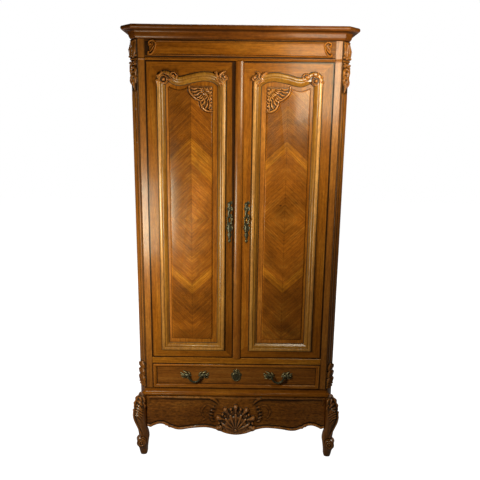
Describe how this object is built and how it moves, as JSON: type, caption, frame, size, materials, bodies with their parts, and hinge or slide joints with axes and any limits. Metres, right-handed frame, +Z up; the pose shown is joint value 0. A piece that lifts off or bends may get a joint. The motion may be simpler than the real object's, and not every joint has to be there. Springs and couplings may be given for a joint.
{
  "type": "wardrobe",
  "caption": "Free-standing walnut wardrobe in a traditional curved-leg style, with hinged panelled doors over a drawer, a hanging rail, a hat shelf and a lock with its key.",
  "frame": {"origin": "middle of the bounding box at floor level", "axes": "+Z up, -Y towards the person who faces the doors, +X to that person's right"},
  "size_m": [1.049, 0.52, 2.1],
  "materials": {
    "walnut": "waxed and French-polished walnut",
    "carved_walnut": "carved walnut, darker in the hollows",
    "walnut_veneer": "book-matched walnut veneer, polished",
    "secondary_wood": "unpolished plain timber",
    "antique_brass": "cast brass with a dark green-brown patina",
    "steel": "plain steel",
    "key_brass": "worn bright brass"
  },
  "bodies": {
    "carcase": {"cornice_left": "walnut", "cornice_front": "walnut", "cornice_right": "walnut", "frieze_rail": "walnut", "mid_rail": "walnut", "base_moulding": "walnut", "left_side_frame": "walnut", "right_side_frame": "walnut", "frieze_panel": "carved_walnut", "left_corner_post": "carved_walnut", "right_corner_post": "carved_walnut", "apron": "carved_walnut", "apron_shell": "carved_walnut", "left_front_leg": "carved_walnut", "right_front_leg": "carved_walnut", "left_side_panel": "walnut_veneer", "right_side_panel": "walnut_veneer", "cornice_top_board": "secondary_wood", "back_board_left": "secondary_wood", "back_board_centre": "secondary_wood", "back_board_right": "secondary_wood", "compartment_floor": "secondary_wood", "hat_shelf": "secondary_wood", "left_shelf_cleat": "secondary_wood", "right_shelf_cleat": "secondary_wood", "left_drawer_runner": "secondary_wood", "right_drawer_runner": "secondary_wood", "left_rail_socket": "antique_brass", "right_rail_socket": "antique_brass", "hanging_rail": "steel", "left_upper_pivot": "steel", "left_lower_pivot": "steel", "right_upper_pivot": "steel", "right_lower_pivot": "steel"},
    "left_door": {"left_door_frame": "walnut", "left_door_panel": "walnut_veneer", "left_door_moulding": "carved_walnut", "left_door_escutcheon": "antique_brass"},
    "right_door": {"right_door_frame": "walnut", "right_door_panel": "walnut_veneer", "right_door_moulding": "carved_walnut", "right_door_escutcheon": "antique_brass", "door_astragal": "walnut", "door_lock_case": "steel"},
    "drawer": {"drawer_front": "walnut", "drawer_left_side": "secondary_wood", "drawer_right_side": "secondary_wood", "drawer_back": "secondary_wood", "drawer_bottom": "secondary_wood", "drawer_escutcheon": "antique_brass", "left_pull_left_rosette": "antique_brass", "left_pull_right_rosette": "antique_brass", "right_pull_left_rosette": "antique_brass", "right_pull_right_rosette": "antique_brass"},
    "left_bail": {"left_pull_bail": "antique_brass"},
    "right_bail": {"right_pull_bail": "antique_brass"},
    "upper_bolt": {"upper_door_bolt": "steel"},
    "lower_bolt": {"lower_door_bolt": "steel"},
    "lock_bolt": {"door_lock_bolt": "antique_brass"},
    "key": {"door_key": "key_brass"}
  },
  "joints": [
    {"name": "left_door_swing", "type": "hinge", "parent": "carcase", "child": "left_door", "pos_m": [-0.405, -0.21, 0.54], "axis": [0, 0, -1], "range_deg": [0, 110]},
    {"name": "right_door_swing", "type": "hinge", "parent": "carcase", "child": "right_door", "pos_m": [0.405, -0.21, 0.54], "axis": [0, 0, 1], "range_deg": [0, 110]},
    {"name": "drawer_slide", "type": "slide", "parent": "carcase", "child": "drawer", "axis": [0, -1, 0], "range_m": [0, 0.31]},
    {"name": "left_bail_swing", "type": "hinge", "parent": "drawer", "child": "left_bail", "pos_m": [-0.209, -0.226, 0.44325], "axis": [-1, 0, 0], "range_deg": [0, 85]},
    {"name": "right_bail_swing", "type": "hinge", "parent": "drawer", "child": "right_bail", "pos_m": [0.209, -0.226, 0.44325], "axis": [-1, 0, 0], "range_deg": [0, 85]},
    {"name": "key_turn", "type": "hinge", "parent": "right_door", "child": "key", "pos_m": [0.04, -0.216, 1.24], "axis": [0, 1, 0], "range_deg": [0, 90]},
    {"name": "lock_bolt_slide", "type": "slide", "parent": "right_door", "child": "lock_bolt", "axis": [-1, 0, 0], "range_m": [0, 0.011]},
    {"name": "upper_bolt_slide", "type": "slide", "parent": "left_door", "child": "upper_bolt", "axis": [0, 0, 1], "range_m": [0, 0.012]},
    {"name": "lower_bolt_slide", "type": "slide", "parent": "left_door", "child": "lower_bolt", "axis": [0, 0, -1], "range_m": [0, 0.012]}
  ],
  "couplings": [
    {"joint": "key_turn", "follows": "lock_bolt_slide", "rad_per_m": 142.79}
  ]
}
